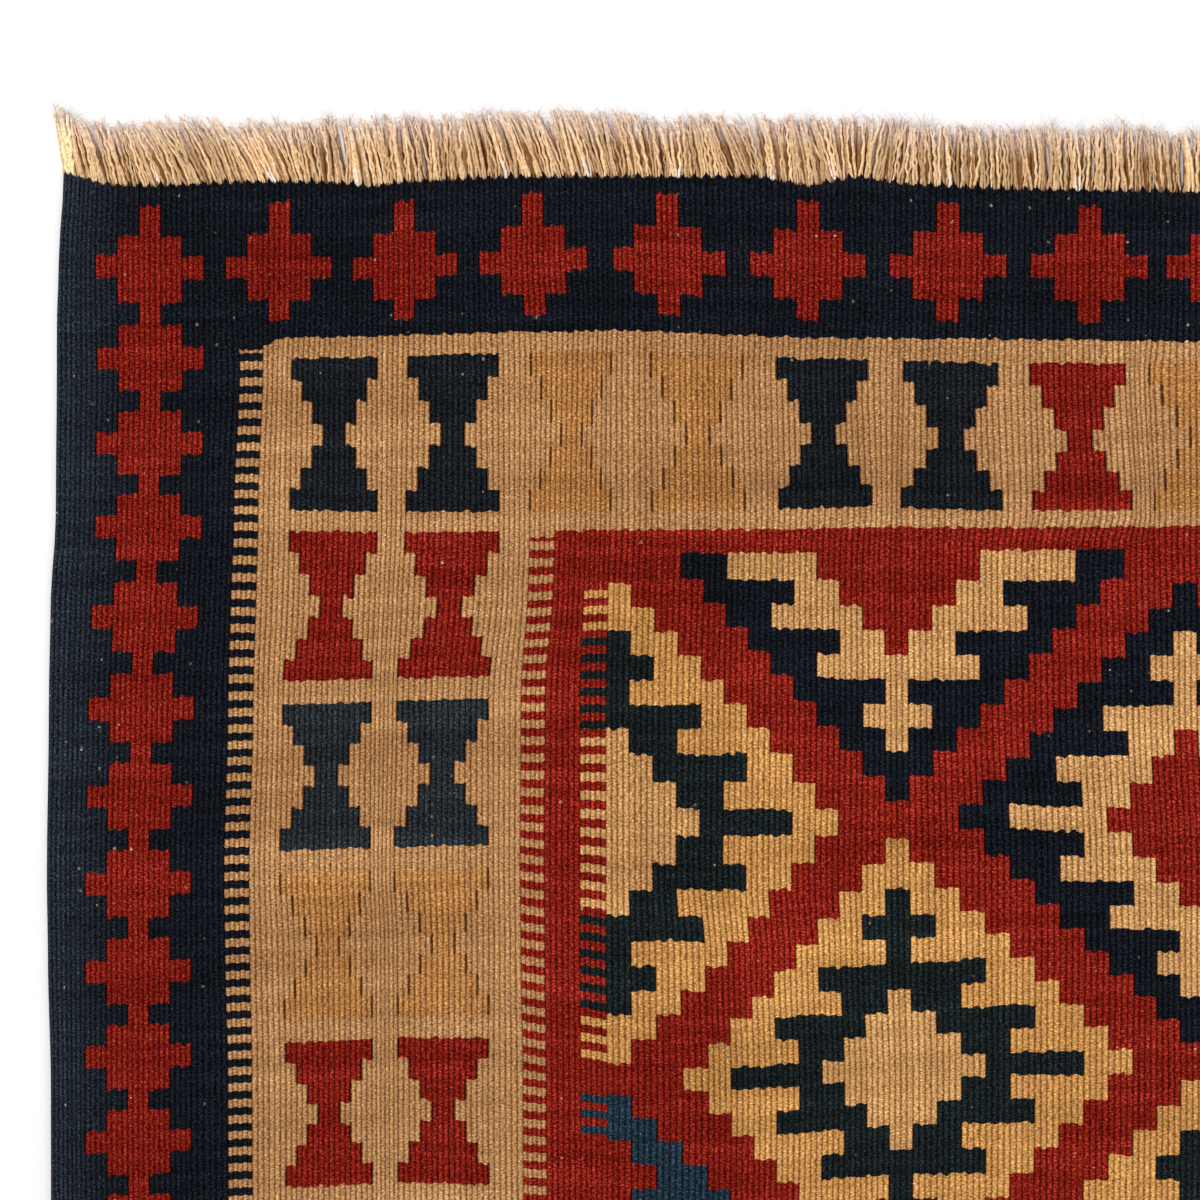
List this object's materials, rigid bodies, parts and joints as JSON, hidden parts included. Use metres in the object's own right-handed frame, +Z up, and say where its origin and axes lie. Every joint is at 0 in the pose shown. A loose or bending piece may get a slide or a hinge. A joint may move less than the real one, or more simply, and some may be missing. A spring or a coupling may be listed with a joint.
{
  "type": "kilim rug",
  "caption": "Flat-woven wool kilim in slit tapestry with stepped diamonds, a border of crosses and hourglasses, and short fringes.",
  "frame": {"origin": "centre of the rug on the floor, at the foot of its bounding box", "axes": "+X across the rug towards its right selvedge, +Y along its length towards the far fringe, +Z up from the floor"},
  "size_m": [1.002, 1.5426, 0.003],
  "materials": {
    "wool_ground": "weft-faced slit tapestry of dyed wool in navy, steel blue, brick red, beige and gold, with fine ribs along the rug",
    "warp_fringe": "trimmed ends of undyed tan wool warps"
  },
  "bodies": {
    "root": {"kilim_ground": "wool_ground", "fringe_far": "warp_fringe", "fringe_near": "warp_fringe"}
  },
  "joints": []
}
